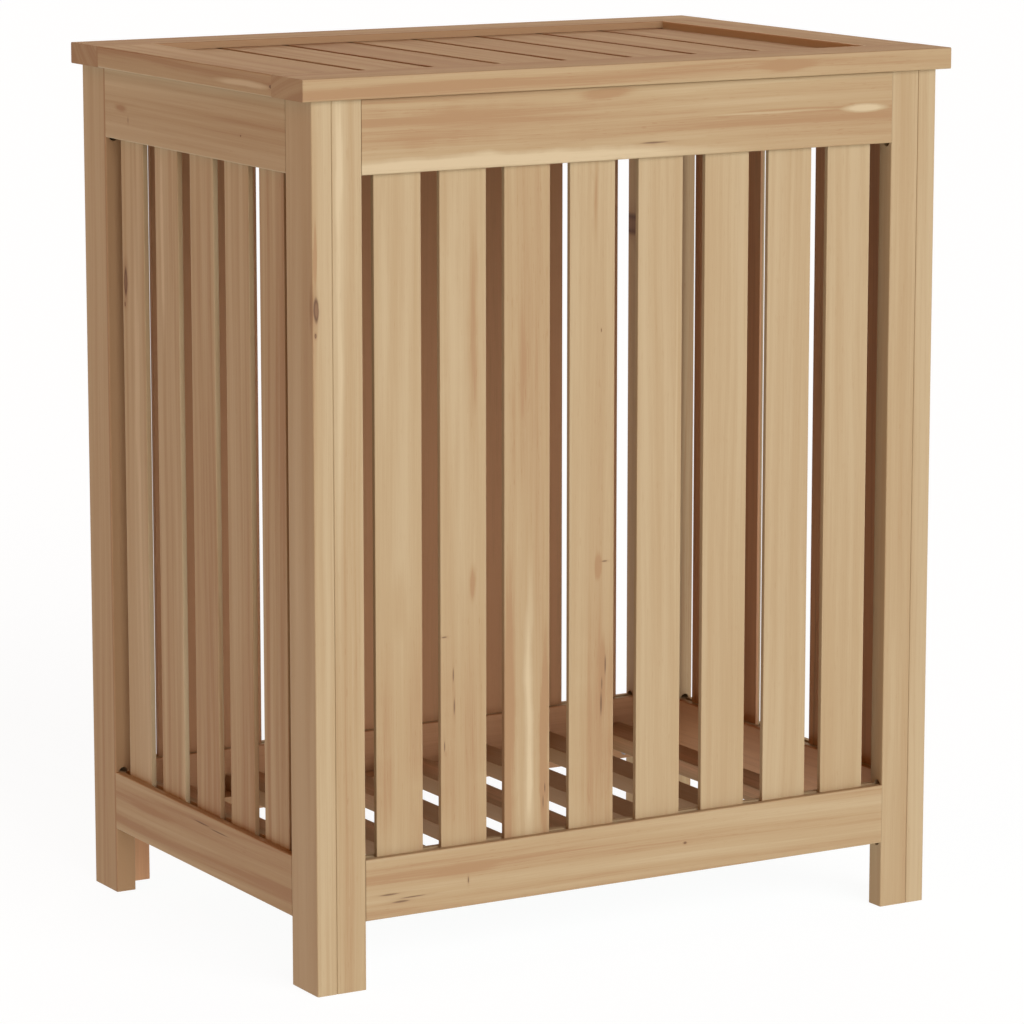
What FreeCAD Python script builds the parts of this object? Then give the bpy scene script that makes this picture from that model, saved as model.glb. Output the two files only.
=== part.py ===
import FreeCAD, Part
import os

# Slatted wooden laundry hamper with a hinged lid. Millimetres, +Z up.
# X runs left to right, Y front to back. The origin is on the floor, under the
# middle of the hamper's footprint, hinge knuckles included.

# Overall sizes of the body
BODY_WIDTH = 500.0
BODY_DEPTH = 354.0
BODY_HEIGHT = 608.0

# Boards of the corner posts and rails
BOARD_THICK = 15.0
POST_WIDTH = 37.5
ARRIS = 1.0
FOOT_CLEAR = 48.0
BOTTOM_RAIL_HEIGHT = 43.0
TOP_RAIL_HEIGHT = 50.5

# Rail tenons and the routed post mortises that they enter
TENON_LENGTH = 16.0
TENON_THICK = 6.5
TENON_SETBACK = 3.0
TENON_CLEAR = 0.1
MORTISE_END_GAP = 1.0
MORTISE_RELIEF = 3.0
TOP_SHOULDER = 10.0

# Dowels that join the two boards of each post
DOWEL_RADIUS = 3.0
DOWEL_LENGTH = 20.0
DOWEL_CLEAR = 0.05
DOWEL_END_GAP = 0.5
DOWEL_COUNT = 3
DOWEL_MARGIN = 60.0

# Wall slats, housed in grooves in the rails
SLAT_WIDTH = 36.0
SLAT_THICK = 4.0
SLAT_SETBACK = 5.0
SLAT_ARRIS = 0.5
GROOVE_DEPTH = 8.0
GROOVE_CLEAR = 0.1
GROOVE_END_GAP = 0.5
# How far each slat stands off the even spacing, from the left and from the front
WIDE_WALL_OFFSETS = (-4.0, -5.0, -6.0, -5.5, -2.0, 1.0, 2.0, 0.5)
SIDE_WALL_OFFSETS = (-4.0, -4.5, -3.5, -0.5, 2.0)

# Floor: battens on a ledger behind the front rail and one behind the back rail
LEDGER_DEPTH = 20.0
LEDGER_HEIGHT = 12.0
LEDGER_END_GAP = 0.5
BATTEN_WIDTH = 27.0
BATTEN_THICK = 12.0
BATTEN_COUNT = 7
BATTEN_LEFT_GAP = 22.0
BATTEN_END_GAP = 0.5

# Lid: a flat frame with recessed slats
LID_THICK = 15.0
LID_SIDE_OVERHANG = 9.0
LID_FRONT_OVERHANG = 5.5
LID_BACK_INSET = 1.0
LID_SEAT_GAP = 0.3
LID_FRAME_WIDTH = 45.0
LID_TENON_LENGTH = 20.0
LID_TENON_WIDTH = 22.5
LID_TENON_THICK = 5.0
LID_SLAT_COUNT = 8
LID_SLAT_GAP = 5.5
LID_SLAT_THICK = 6.0
LID_RECESS = 5.0
LID_GROOVE_DEPTH = 10.0

# Two butt hinges on the back
HINGE_LENGTH = 40.0
HINGE_INSET = 80.0
LEAF_WIDTH = 13.0
LEAF_THICK = 1.2
KNUCKLE_RADIUS = 2.5
KNUCKLE_COUNT = 5
KNUCKLE_GAP = 0.2
KNUCKLE_STANDOFF = 0.1
LEAF_RECESS_CLEAR = 0.1
PIN_RADIUS = 1.2
PIN_CLEAR = 0.05
PIN_OVERHANG = 0.5

# Countersunk screws
SCREW_RADIUS = 1.25
SCREW_HEAD_RADIUS = 2.4
SCREW_HEAD_HEIGHT = 1.2
SCREW_CLEAR = 0.05
RAIL_SCREW_LENGTH = 14.0
LID_SCREW_LENGTH = 10.0
HINGE_SCREW_COUNT = 3
HINGE_SCREW_MARGIN = 6.0
LEDGER_SCREW_LENGTH = 28.0
LEDGER_SCREW_RADIUS = 1.75
LEDGER_SCREW_HEAD_RADIUS = 3.4
LEDGER_SCREW_HEAD_HEIGHT = 2.0
LEDGER_SCREW_COUNT = 3
LEDGER_SCREW_MARGIN = 60.0

# Two directions count as parallel when the cosine between them is above this
PARALLEL_COSINE = 0.99

# Places worked out from the sizes above
HINGE_Y_FROM_FRONT = BODY_DEPTH + KNUCKLE_STANDOFF + KNUCKLE_RADIUS
FOOTPRINT_DEPTH = LID_FRONT_OVERHANG + HINGE_Y_FROM_FRONT + KNUCKLE_RADIUS
FRONT = LID_FRONT_OVERHANG - FOOTPRINT_DEPTH / 2
BACK = FRONT + BODY_DEPTH
LEFT = -BODY_WIDTH / 2
RIGHT = BODY_WIDTH / 2
BOTTOM_RAIL_TOP = FOOT_CLEAR + BOTTOM_RAIL_HEIGHT
TOP_RAIL_BOTTOM = BODY_HEIGHT - TOP_RAIL_HEIGHT
LEDGER_TOP = FOOT_CLEAR + LEDGER_HEIGHT
LID_BOTTOM = BODY_HEIGHT + LID_SEAT_GAP
LID_TOP = LID_BOTTOM + LID_THICK
LID_LEFT = LEFT - LID_SIDE_OVERHANG
LID_RIGHT = RIGHT + LID_SIDE_OVERHANG
LID_FRONT = FRONT - LID_FRONT_OVERHANG
LID_BACK = BACK - LID_BACK_INSET
AXIS_Y = FRONT + HINGE_Y_FROM_FRONT
AXIS_Z = BODY_HEIGHT + LID_SEAT_GAP / 2
ENDS = {"bottom": (FOOT_CLEAR, BOTTOM_RAIL_TOP), "top": (TOP_RAIL_BOTTOM, BODY_HEIGHT)}

X_AXIS = FreeCAD.Vector(1, 0, 0)
Y_AXIS = FreeCAD.Vector(0, 1, 0)
Z_AXIS = FreeCAD.Vector(0, 0, 1)

parts = {}


def box(low, high):
    size = [b - a for a, b in zip(low, high)]
    return Part.makeBox(*size, FreeCAD.Vector(*low))


def board(low, high, along, radius=ARRIS):
    """A box whose four long edges, those along the given axis, are rounded."""
    solid = box(low, high)
    long_edges = []
    for edge in solid.Edges:
        run = edge.Vertexes[1].Point - edge.Vertexes[0].Point
        if abs(run.normalize().dot(along)) > PARALLEL_COSINE:
            long_edges.append(edge)
    return solid.makeFillet(radius, long_edges)


def rod(radius, start, direction, length):
    return Part.makeCylinder(radius, length, FreeCAD.Vector(*start), direction)


def joined(solids):
    first, *others = solids
    return first.fuse(others).removeSplitter() if others else first


def screw(radius, head_radius, head_height, length, head_at, direction):
    """A countersunk screw whose flat head lies at head_at and whose point is along direction."""
    point = FreeCAD.Vector(*head_at)
    head = Part.makeCone(head_radius, radius, head_height, point, direction)
    shank = Part.makeCylinder(radius, length, point, direction)
    return head.fuse(shank).removeSplitter()


def wider_screw(radius, head_radius, head_height, length, head_at, direction):
    """The hole that a countersunk screw sits in."""
    return screw(
        radius + SCREW_CLEAR,
        head_radius + SCREW_CLEAR,
        head_height + SCREW_CLEAR,
        length + SCREW_CLEAR,
        head_at,
        direction,
    )


def spread(count, low, high, margin):
    """Evenly spaced places between low and high, the first and last a margin in from the ends."""
    step = (high - low - 2 * margin) / (count - 1)
    return [low + margin + i * step for i in range(count)]


def slat_starts(low, high, offsets):
    """Where each wall slat begins: even gaps between low and high, then its own small offset."""
    gap = (high - low - len(offsets) * SLAT_WIDTH) / (len(offsets) + 1)
    return [low + gap + i * (gap + SLAT_WIDTH) + off for i, off in enumerate(offsets)]


def mirror_x(shape):
    return shape.mirror(FreeCAD.Vector(0, 0, 0), X_AXIS)


def mirror_y(shape):
    middle = FreeCAD.Vector(0, (FRONT + BACK) / 2, 0)
    return shape.mirror(middle, Y_AXIS)


# ---- Rails -----------------------------------------------------------------


def tenon_heights(level):
    """The lowest and highest points of a rail's tenon: the top rails have a shoulder above it."""
    low, high = ENDS[level]
    return (low, high - TOP_SHOULDER) if level == "top" else (low, high)


def groove_heights(level):
    """The groove is in the bottom rail's top edge and in the top rail's bottom edge."""
    low, high = ENDS[level]
    return (low, low + GROOVE_DEPTH) if level == "top" else (high - GROOVE_DEPTH, high)


def front_rail(level):
    low, high = ENDS[level]
    start = LEFT + POST_WIDTH
    end = RIGHT - POST_WIDTH
    rail = board((start, FRONT, low), (end, FRONT + BOARD_THICK, high), X_AXIS)
    tenon_low, tenon_high = tenon_heights(level)
    tenon_front = FRONT + TENON_SETBACK
    tenon = box(
        (start - TENON_LENGTH, tenon_front, tenon_low + ARRIS),
        (end + TENON_LENGTH, tenon_front + TENON_THICK, tenon_high - ARRIS),
    )
    groove_low, groove_high = groove_heights(level)
    groove_front = FRONT + SLAT_SETBACK - GROOVE_CLEAR
    groove = box(
        (start, groove_front, groove_low),
        (end, groove_front + SLAT_THICK + 2 * GROOVE_CLEAR, groove_high),
    )
    return joined([rail, tenon]).cut(groove)


def left_rail(level):
    low, high = ENDS[level]
    start = FRONT + POST_WIDTH
    end = BACK - POST_WIDTH
    rail = board((LEFT, start, low), (LEFT + BOARD_THICK, end, high), Y_AXIS)
    tenon_low, tenon_high = tenon_heights(level)
    tenon_left = LEFT + TENON_SETBACK
    tenon = box(
        (tenon_left, start - TENON_LENGTH, tenon_low + ARRIS),
        (tenon_left + TENON_THICK, end + TENON_LENGTH, tenon_high - ARRIS),
    )
    groove_low, groove_high = groove_heights(level)
    groove_left = LEFT + SLAT_SETBACK - GROOVE_CLEAR
    groove = box(
        (groove_left, start, groove_low),
        (groove_left + SLAT_THICK + 2 * GROOVE_CLEAR, end, groove_high),
    )
    return joined([rail, tenon]).cut(groove)


# ---- Corner posts ----------------------------------------------------------


def mortise(level, across, along_x):
    """A routed slot in a post's inner edge: rounded ends, a little taller than the tenon."""
    low, high = tenon_heights(level)
    radius = TENON_THICK / 2 + TENON_CLEAR
    depth = TENON_LENGTH + MORTISE_END_GAP
    low -= MORTISE_RELIEF - radius
    high += MORTISE_RELIEF - radius
    centre = across + TENON_SETBACK + TENON_THICK / 2
    if along_x:
        mouth = LEFT + POST_WIDTH
        slot = box((mouth - depth, centre - radius, low), (mouth, centre + radius, high))
        ends = [rod(radius, (mouth - depth, centre, z), X_AXIS, depth) for z in (low, high)]
    else:
        mouth = FRONT + POST_WIDTH
        slot = box((centre - radius, mouth - depth, low), (centre + radius, mouth, high))
        ends = [rod(radius, (centre, mouth - depth, z), Y_AXIS, depth) for z in (low, high)]
    return joined([slot] + ends)


def dowel_places():
    """Between the rails, in the middle of the face board's thickness, across the two boards' joint."""
    y = FRONT + BOARD_THICK / 2
    x = LEFT + BOARD_THICK - DOWEL_LENGTH / 2
    heights = spread(DOWEL_COUNT, BOTTOM_RAIL_TOP, TOP_RAIL_BOTTOM, DOWEL_MARGIN)
    return [(x, y, z) for z in heights]


def dowel_holes():
    holes = []
    for x, y, z in dowel_places():
        start = (x - DOWEL_END_GAP, y, z)
        length = DOWEL_LENGTH + 2 * DOWEL_END_GAP
        holes.append(rod(DOWEL_RADIUS + DOWEL_CLEAR, start, X_AXIS, length))
    return holes


def front_left_side_board():
    low = (LEFT, FRONT, 0)
    high = (LEFT + BOARD_THICK, FRONT + POST_WIDTH, BODY_HEIGHT)
    cuts = [mortise(level, LEFT, False) for level in ENDS] + dowel_holes()
    return board(low, high, Z_AXIS).cut(cuts)


def front_left_face_board():
    low = (LEFT + BOARD_THICK, FRONT, 0)
    high = (LEFT + POST_WIDTH, FRONT + BOARD_THICK, BODY_HEIGHT)
    cuts = [mortise(level, FRONT, True) for level in ENDS] + dowel_holes()
    return board(low, high, Z_AXIS).cut(cuts)


def front_left_dowels():
    return [rod(DOWEL_RADIUS, place, X_AXIS, DOWEL_LENGTH) for place in dowel_places()]


# ---- Walls -----------------------------------------------------------------


def wall_slat(low_xy, high_xy):
    bottom = BOTTOM_RAIL_TOP - GROOVE_DEPTH + GROOVE_END_GAP
    top = TOP_RAIL_BOTTOM + GROOVE_DEPTH - GROOVE_END_GAP
    return board((*low_xy, bottom), (*high_xy, top), Z_AXIS, SLAT_ARRIS)


def front_slats():
    y = FRONT + SLAT_SETBACK
    starts = slat_starts(LEFT + POST_WIDTH, RIGHT - POST_WIDTH, WIDE_WALL_OFFSETS)
    return [wall_slat((x, y), (x + SLAT_WIDTH, y + SLAT_THICK)) for x in starts]


def left_slats():
    x = LEFT + SLAT_SETBACK
    starts = slat_starts(FRONT + POST_WIDTH, BACK - POST_WIDTH, SIDE_WALL_OFFSETS)
    return [wall_slat((x, y), (x + SLAT_THICK, y + SLAT_WIDTH)) for y in starts]


# ---- Floor -----------------------------------------------------------------


def ledger_screw_sizes():
    sizes = (LEDGER_SCREW_RADIUS, LEDGER_SCREW_HEAD_RADIUS, LEDGER_SCREW_HEAD_HEIGHT)
    y = FRONT + BOARD_THICK + LEDGER_DEPTH
    z = FOOT_CLEAR + LEDGER_HEIGHT / 2
    places = spread(LEDGER_SCREW_COUNT, LEFT, RIGHT, LEDGER_SCREW_MARGIN)
    return [(*sizes, LEDGER_SCREW_LENGTH, (x, y, z), -Y_AXIS) for x in places]


def front_ledger():
    low = (LEFT + BOARD_THICK + LEDGER_END_GAP, FRONT + BOARD_THICK, FOOT_CLEAR)
    high = (RIGHT - BOARD_THICK - LEDGER_END_GAP, low[1] + LEDGER_DEPTH, LEDGER_TOP)
    holes = [wider_screw(*sizes) for sizes in ledger_screw_sizes()]
    return board(low, high, X_AXIS, SLAT_ARRIS).cut(holes)


def floor_battens():
    """Laid from the right-hand wall with even gaps; what is left over is beside the left wall."""
    front = FRONT + BOARD_THICK + BATTEN_END_GAP
    back = BACK - BOARD_THICK - BATTEN_END_GAP
    left_wall = LEFT + BOARD_THICK
    right_wall = RIGHT - BOARD_THICK
    pitch = (right_wall - left_wall - BATTEN_LEFT_GAP) / BATTEN_COUNT
    battens = []
    for i in range(BATTEN_COUNT):
        right = right_wall - (i + 1) * pitch + BATTEN_WIDTH
        low = (right - BATTEN_WIDTH, front, LEDGER_TOP)
        high = (right, back, LEDGER_TOP + BATTEN_THICK)
        battens.append(board(low, high, Y_AXIS, SLAT_ARRIS))
    return battens


# ---- Lid -------------------------------------------------------------------


def lid_slat_heights():
    high = LID_TOP - LID_RECESS
    return high - LID_SLAT_THICK, high


def lid_tenon(member_left, front, back, clear=0.0):
    """The tongue in the middle of a side member's width and of the slats' height, or its socket."""
    low, high = lid_slat_heights()
    middle_x = member_left + LID_FRAME_WIDTH / 2
    middle_z = (low + high) / 2
    half_width = LID_TENON_WIDTH / 2 + clear
    half_thick = LID_TENON_THICK / 2 + clear
    return box(
        (middle_x - half_width, front, middle_z - half_thick),
        (middle_x + half_width, back, middle_z + half_thick),
    )


def lid_front_member():
    low = (LID_LEFT, LID_FRONT, LID_BOTTOM)
    high = (LID_RIGHT, LID_FRONT + LID_FRAME_WIDTH, LID_TOP)
    member = board(low, high, X_AXIS)
    groove_low, groove_high = lid_slat_heights()
    inner = LID_FRONT + LID_FRAME_WIDTH
    groove = box(
        (LID_LEFT + LID_FRAME_WIDTH, inner - LID_GROOVE_DEPTH, groove_low - GROOVE_CLEAR),
        (LID_RIGHT - LID_FRAME_WIDTH, inner, groove_high + GROOVE_CLEAR),
    )
    socket_front = inner - LID_TENON_LENGTH - MORTISE_END_GAP
    members = (LID_LEFT, LID_RIGHT - LID_FRAME_WIDTH)
    sockets = [lid_tenon(left, socket_front, inner, TENON_CLEAR) for left in members]
    return member.cut([groove] + sockets)


def lid_left_member():
    front = LID_FRONT + LID_FRAME_WIDTH
    back = LID_BACK - LID_FRAME_WIDTH
    low = (LID_LEFT, front, LID_BOTTOM)
    high = (LID_LEFT + LID_FRAME_WIDTH, back, LID_TOP)
    tenon = lid_tenon(LID_LEFT, front - LID_TENON_LENGTH, back + LID_TENON_LENGTH)
    return joined([board(low, high, Y_AXIS), tenon])


def lid_slats():
    """From the left member rightwards, with a gap after each slat."""
    left = LID_LEFT + LID_FRAME_WIDTH
    right = LID_RIGHT - LID_FRAME_WIDTH
    pitch = (right - left) / LID_SLAT_COUNT
    low_z, high_z = lid_slat_heights()
    reach = LID_GROOVE_DEPTH - GROOVE_END_GAP
    front = LID_FRONT + LID_FRAME_WIDTH - reach
    back = LID_BACK - LID_FRAME_WIDTH + reach
    slats = []
    for i in range(LID_SLAT_COUNT):
        x = left + GROOVE_CLEAR + i * pitch
        high = (x + pitch - LID_SLAT_GAP, back, high_z)
        slats.append(board((x, front, low_z), high, Y_AXIS, SLAT_ARRIS))
    return slats


# ---- Hinges ----------------------------------------------------------------


def knuckle_spans(start, of_lid):
    """The stretches of X that one leaf's knuckles take: the rail leaf has the outer ones."""
    pitch = HINGE_LENGTH / KNUCKLE_COUNT
    spans = []
    for i in range(KNUCKLE_COUNT):
        if (i % 2 == 1) == of_lid:
            low = start + i * pitch + (KNUCKLE_GAP / 2 if i > 0 else 0)
            high = start + (i + 1) * pitch - (KNUCKLE_GAP / 2 if i < KNUCKLE_COUNT - 1 else 0)
            spans.append((low, high))
    return spans


def leaf_heights(of_lid):
    return (LID_BOTTOM, LID_BOTTOM + LEAF_THICK) if of_lid else (BODY_HEIGHT - LEAF_THICK, BODY_HEIGHT)


def hinge_screw_sizes(start, of_lid):
    sizes = (SCREW_RADIUS, SCREW_HEAD_RADIUS, SCREW_HEAD_HEIGHT)
    length = LID_SCREW_LENGTH if of_lid else RAIL_SCREW_LENGTH
    direction = Z_AXIS if of_lid else -Z_AXIS
    z = LID_BOTTOM if of_lid else BODY_HEIGHT
    y = AXIS_Y - KNUCKLE_RADIUS - LEAF_WIDTH / 2
    places = spread(HINGE_SCREW_COUNT, start, start + HINGE_LENGTH, HINGE_SCREW_MARGIN)
    return [(*sizes, length, (x, y, z), direction) for x in places]


def leaf(start, of_lid):
    low, high = leaf_heights(of_lid)
    plate_front = AXIS_Y - KNUCKLE_RADIUS - LEAF_WIDTH
    plate = box((start, plate_front, low), (start + HINGE_LENGTH, AXIS_Y, high))
    clearances = []
    for x0, x1 in knuckle_spans(start, not of_lid):
        centre = (x0 - KNUCKLE_GAP, AXIS_Y, AXIS_Z)
        clearances.append(rod(KNUCKLE_RADIUS + KNUCKLE_GAP, centre, X_AXIS, x1 - x0 + 2 * KNUCKLE_GAP))
    plate = plate.cut(clearances)
    knuckles = [rod(KNUCKLE_RADIUS, (x0, AXIS_Y, AXIS_Z), X_AXIS, x1 - x0)
                for x0, x1 in knuckle_spans(start, of_lid)]
    bore_start = (start - PIN_OVERHANG, AXIS_Y, AXIS_Z)
    bore = rod(PIN_RADIUS + PIN_CLEAR, bore_start, X_AXIS, HINGE_LENGTH + 2 * PIN_OVERHANG)
    holes = [wider_screw(*sizes) for sizes in hinge_screw_sizes(start, of_lid)]
    return joined([plate] + knuckles).cut([bore] + holes)


def leaf_recess(start, of_lid):
    """The shallow housing, open at the back, that a leaf lies in, with its screw holes."""
    low, high = leaf_heights(of_lid)
    front = AXIS_Y - KNUCKLE_RADIUS - LEAF_WIDTH - LEAF_RECESS_CLEAR
    recess = box(
        (start - LEAF_RECESS_CLEAR, front, low),
        (start + HINGE_LENGTH + LEAF_RECESS_CLEAR, AXIS_Y, high),
    )
    return joined([recess] + [wider_screw(*sizes) for sizes in hinge_screw_sizes(start, of_lid)])


def hinge_pin(start):
    begin = (start - PIN_OVERHANG, AXIS_Y, AXIS_Z)
    return rod(PIN_RADIUS, begin, X_AXIS, HINGE_LENGTH + 2 * PIN_OVERHANG)


HINGE_STARTS = {"left": LEFT + HINGE_INSET, "right": RIGHT - HINGE_INSET - HINGE_LENGTH}

# ---- The pieces ------------------------------------------------------------

# Corner posts
posts = {"side": front_left_side_board(), "face": front_left_face_board()}
for kind, post in posts.items():
    parts[f"post_{kind}_board_front_left"] = post
    parts[f"post_{kind}_board_front_right"] = mirror_x(post)
    parts[f"post_{kind}_board_back_left"] = mirror_y(post)
    parts[f"post_{kind}_board_back_right"] = mirror_x(mirror_y(post))
dowels = []
for dowel in front_left_dowels():
    dowels += [dowel, mirror_x(dowel), mirror_y(dowel), mirror_x(mirror_y(dowel))]
parts["post_dowels"] = Part.makeCompound(dowels)

# Rails
hinge_housings = [leaf_recess(start, False) for start in HINGE_STARTS.values()]
ledger_holes = [wider_screw(*sizes) for sizes in ledger_screw_sizes()]
for level in ENDS:
    front = front_rail(level)
    if level == "bottom":
        front = front.cut(ledger_holes)
    back = mirror_y(front)
    if level == "top":
        back = back.cut(hinge_housings)
    parts[f"rail_{level}_front"] = front
    parts[f"rail_{level}_back"] = back
    parts[f"rail_{level}_left"] = left_rail(level)
    parts[f"rail_{level}_right"] = mirror_x(left_rail(level))

# Wall slats
for number, slat in enumerate(front_slats(), 1):
    parts[f"slat_front_{number}"] = slat
    parts[f"slat_back_{number}"] = mirror_y(slat)
for number, slat in enumerate(left_slats(), 1):
    parts[f"slat_left_{number}"] = slat
    parts[f"slat_right_{number}"] = mirror_x(slat)

# Floor
ledger = front_ledger()
ledger_screws = [screw(*sizes) for sizes in ledger_screw_sizes()]
parts["floor_ledger_front"] = ledger
parts["floor_ledger_back"] = mirror_y(ledger)
parts["floor_battens"] = Part.makeCompound(floor_battens())
parts["ledger_screws"] = Part.makeCompound(ledger_screws + [mirror_y(s) for s in ledger_screws])

# Lid
lid_housings = [leaf_recess(start, True) for start in HINGE_STARTS.values()]
lid_middle = FreeCAD.Vector(0, (LID_FRONT + LID_BACK) / 2, 0)
lid_front = lid_front_member()
parts["lid_frame_front"] = lid_front
parts["lid_frame_back"] = lid_front.mirror(lid_middle, Y_AXIS).cut(lid_housings)
parts["lid_frame_left"] = lid_left_member()
parts["lid_frame_right"] = mirror_x(lid_left_member())
parts["lid_slats"] = Part.makeCompound(lid_slats())

# Hinges
rail_screws = []
lid_screws = []
for side, start in HINGE_STARTS.items():
    parts[f"hinge_{side}_rail_leaf"] = leaf(start, False)
    parts[f"hinge_{side}_lid_leaf"] = leaf(start, True)
    parts[f"hinge_{side}_pin"] = hinge_pin(start)
    rail_screws += [screw(*sizes) for sizes in hinge_screw_sizes(start, False)]
    lid_screws += [screw(*sizes) for sizes in hinge_screw_sizes(start, True)]
parts["hinge_rail_screws"] = Part.makeCompound(rail_screws)
parts["hinge_lid_screws"] = Part.makeCompound(lid_screws)

# ---- Write each piece ------------------------------------------------------

os.makedirs("parts", exist_ok=True)
for name, shape in parts.items():
    shape.exportStep(f"parts/{name}.step")
    print(name, len(shape.Solids), round(shape.Volume), shape.isValid())
print("hinge axis", round(AXIS_Y, 3), round(AXIS_Z, 3))
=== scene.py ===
import math
import random
from fnmatch import fnmatch

import bmesh
import bpy
from mathutils import Matrix, Vector


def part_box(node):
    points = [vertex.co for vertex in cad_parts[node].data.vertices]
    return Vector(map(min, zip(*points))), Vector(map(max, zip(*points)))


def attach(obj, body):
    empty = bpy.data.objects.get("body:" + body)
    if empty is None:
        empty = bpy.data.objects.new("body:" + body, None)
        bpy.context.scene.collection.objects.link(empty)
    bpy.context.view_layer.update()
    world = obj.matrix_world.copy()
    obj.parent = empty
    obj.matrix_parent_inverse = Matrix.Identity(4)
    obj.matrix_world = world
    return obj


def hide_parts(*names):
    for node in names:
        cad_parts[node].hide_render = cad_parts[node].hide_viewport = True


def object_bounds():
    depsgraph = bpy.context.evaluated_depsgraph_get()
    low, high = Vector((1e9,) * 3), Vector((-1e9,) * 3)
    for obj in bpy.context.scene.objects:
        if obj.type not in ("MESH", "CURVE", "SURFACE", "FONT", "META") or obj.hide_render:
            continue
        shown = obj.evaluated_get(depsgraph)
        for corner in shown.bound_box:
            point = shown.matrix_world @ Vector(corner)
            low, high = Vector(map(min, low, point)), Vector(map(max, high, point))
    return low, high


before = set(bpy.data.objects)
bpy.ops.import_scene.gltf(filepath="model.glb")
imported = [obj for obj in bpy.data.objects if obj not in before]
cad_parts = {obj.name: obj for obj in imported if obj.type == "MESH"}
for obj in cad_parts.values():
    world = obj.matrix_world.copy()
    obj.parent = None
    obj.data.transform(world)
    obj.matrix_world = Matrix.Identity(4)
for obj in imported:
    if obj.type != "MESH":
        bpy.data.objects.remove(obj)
cad_low, cad_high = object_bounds()

# Looks of a slatted wooden laundry hamper. Metres, +Z up, -Y is the front.
X, Y, Z = 0, 1, 2
MM = 0.001

# ---- Camera, light and floor -------------------------------------------------

CAMERA_AZIMUTH = -30.1995
CAMERA_ELEVATION = 10.3928
CAMERA_DISTANCE = 3.3296
CAMERA_LENS = 161.22
# How far the middle of the object lies right of and above the camera's axis
MIDDLE_RIGHT = -0.00444
MIDDLE_UP = 0.02725

FILL_COLOUR = (1.0, 0.24, 0.12)
FILL_STRENGTH = 0.20
# Each soft sun: the direction it comes from, its width in degrees, its strength and its colour
SUNS = {
    "front_light": ((0.1, -0.97, 0.17), 60, 3.92, (0.915, 0.965, 1.0)),
    "left_light": ((-0.9, 0.1, 0.3), 90, 0.66, (1.0, 0.42, 0.05)),
    "back_light": ((0.5, 0.85, 0.12), 60, 1.70, (1.0, 0.86, 0.60)),
}
FLOOR_SIZE = 60.0
FLOOR_COLOUR = (0.15, 0.15, 0.15)
FLOOR_GLOW = (0.91, 0.93, 0.935)


def add_camera():
    azimuth = math.radians(CAMERA_AZIMUTH)
    elevation = math.radians(CAMERA_ELEVATION)
    back = Vector((
        math.sin(azimuth) * math.cos(elevation),
        -math.cos(azimuth) * math.cos(elevation),
        math.sin(elevation),
    ))
    right = Vector((math.cos(azimuth), math.sin(azimuth), 0.0))
    up = back.cross(right)
    middle = (cad_low + cad_high) / 2
    data = bpy.data.cameras.new("camera")
    data.lens = CAMERA_LENS
    camera = bpy.data.objects.new("camera", data)
    camera.location = middle - MIDDLE_RIGHT * right - MIDDLE_UP * up + CAMERA_DISTANCE * back
    camera.rotation_euler = back.to_track_quat("Z", "Y").to_euler()
    bpy.context.scene.collection.objects.link(camera)
    bpy.context.scene.camera = camera


def add_suns():
    for name, (source, width, strength, colour) in SUNS.items():
        data = bpy.data.lights.new(name, "SUN")
        data.angle = math.radians(width)
        data.energy = strength
        data.color = colour
        light = bpy.data.objects.new(name, data)
        light.rotation_euler = Vector(source).to_track_quat("Z", "Y").to_euler()
        bpy.context.scene.collection.objects.link(light)


def add_world():
    """A warm fill from all round, and plain white where the sky itself is seen."""
    world = bpy.data.worlds.new("studio")
    bpy.context.scene.world = world
    world.use_nodes = True
    tree = Tree(world.node_tree)
    world.node_tree.nodes.clear()
    fill = tree.add("Background", {"Color": (*FILL_COLOUR, 1.0), "Strength": FILL_STRENGTH})
    seen = tree.add("Background", {"Color": (1.0, 1.0, 1.0, 1.0), "Strength": 1.0})
    path = tree.add("LightPath")
    both = tree.add("MixShader", {0: path.outputs["Is Camera Ray"]})
    tree.feed(both.inputs[1], fill.outputs[0])
    tree.feed(both.inputs[2], seen.outputs[0])
    tree.add("OutputWorld", {"Surface": both.outputs[0]})


def add_floor():
    half = FLOOR_SIZE / 2
    mesh = bpy.data.meshes.new("floor")
    corners = [(-half, -half, 0), (half, -half, 0), (half, half, 0), (-half, half, 0)]
    mesh.from_pydata(corners, [], [(0, 1, 2, 3)])
    floor = bpy.data.objects.new("floor", mesh)
    bpy.context.scene.collection.objects.link(floor)
    material, _, shader = new_material("floor_paper")
    shader.inputs["Base Color"].default_value = (*FLOOR_COLOUR, 1.0)
    shader.inputs["Roughness"].default_value = 1.0
    shader.inputs["Specular IOR Level"].default_value = 0.0
    shader.inputs["Emission Color"].default_value = (*FLOOR_GLOW, 1.0)
    shader.inputs["Emission Strength"].default_value = 1.0
    mesh.materials.append(material)


# ---- Short ways to build node trees --------------------------------------------


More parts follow.
